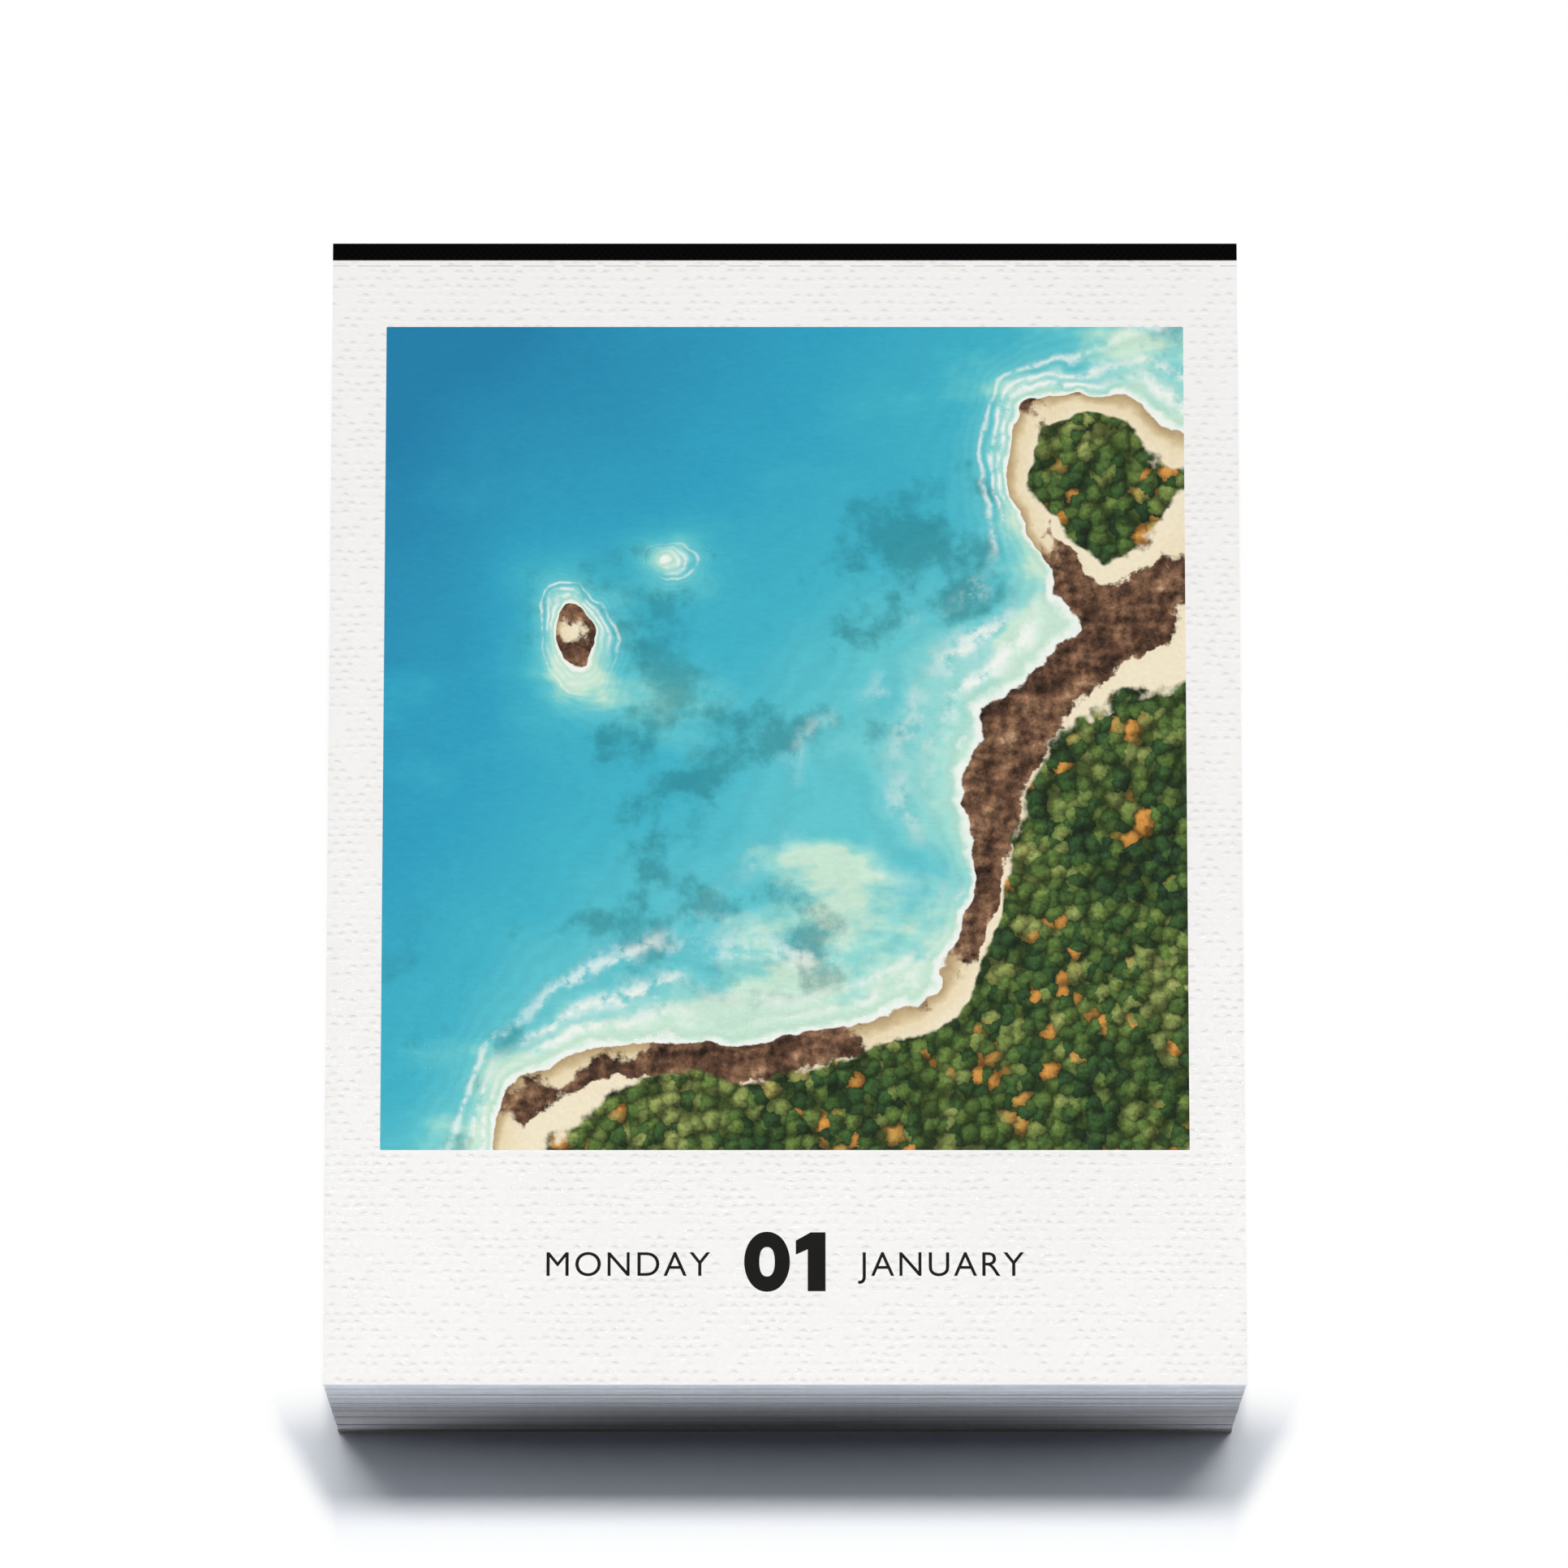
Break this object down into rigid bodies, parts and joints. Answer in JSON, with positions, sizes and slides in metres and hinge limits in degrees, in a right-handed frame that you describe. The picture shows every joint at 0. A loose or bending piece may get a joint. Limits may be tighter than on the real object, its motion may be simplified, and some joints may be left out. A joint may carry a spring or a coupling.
{
  "type": "tear-off day calendar",
  "caption": "Thick block of dated paper leaves, perforated and bound at the head by black tape, on a chipboard back with a hanging hole and a fold-out easel leg.",
  "frame": {"origin": "centre of the calendar's outline, on the surface that its back lies on", "axes": "+Z out of the printed front, +Y towards the taped head, +X to the right of the front"},
  "size_m": [0.11, 0.14, 0.0424],
  "materials": {
    "leaf_paper": "matt uncoated paper with a fine embossed tooth",
    "binding_tape": "matt black cloth tape",
    "head_glue": "dried white padding adhesive",
    "chipboard": "plain grey chipboard"
  },
  "bodies": {
    "block": {"back_board": "chipboard", "binding_tape": "binding_tape", "head_glue": "head_glue", "front_leaf_stub": "leaf_paper", "day_leaf_02": "leaf_paper", "day_leaf_03": "leaf_paper", "day_leaf_04": "leaf_paper", "day_leaf_05": "leaf_paper", "day_leaf_06": "leaf_paper", "day_leaf_07": "leaf_paper", "january_leaves": "leaf_paper", "february_leaves": "leaf_paper", "march_leaves": "leaf_paper", "april_leaves": "leaf_paper", "may_leaves": "leaf_paper", "june_leaves": "leaf_paper", "july_leaves": "leaf_paper", "august_leaves": "leaf_paper", "september_leaves": "leaf_paper", "october_leaves": "leaf_paper", "november_leaves": "leaf_paper", "december_leaves": "leaf_paper"},
    "perforated_edge": {"perforated_edge": "leaf_paper"},
    "front_leaf": {"front_leaf": "leaf_paper"},
    "easel_leg": {"easel_leg": "chipboard"}
  },
  "joints": [
    {"name": "leaf_fold", "type": "hinge", "parent": "block", "child": "perforated_edge", "pos_m": [0, 0.0676, 0.04215], "axis": [-1, 0, 0], "range_deg": [0, 130]},
    {"name": "leaf_pull", "type": "slide", "parent": "perforated_edge", "child": "front_leaf", "axis": [0, -1, 0], "range_m": [0, 0.14]},
    {"name": "leg_fold", "type": "hinge", "parent": "block", "child": "easel_leg", "pos_m": [0, 0.0315, 0], "axis": [1, 0, 0], "range_deg": [0, 90]}
  ]
}
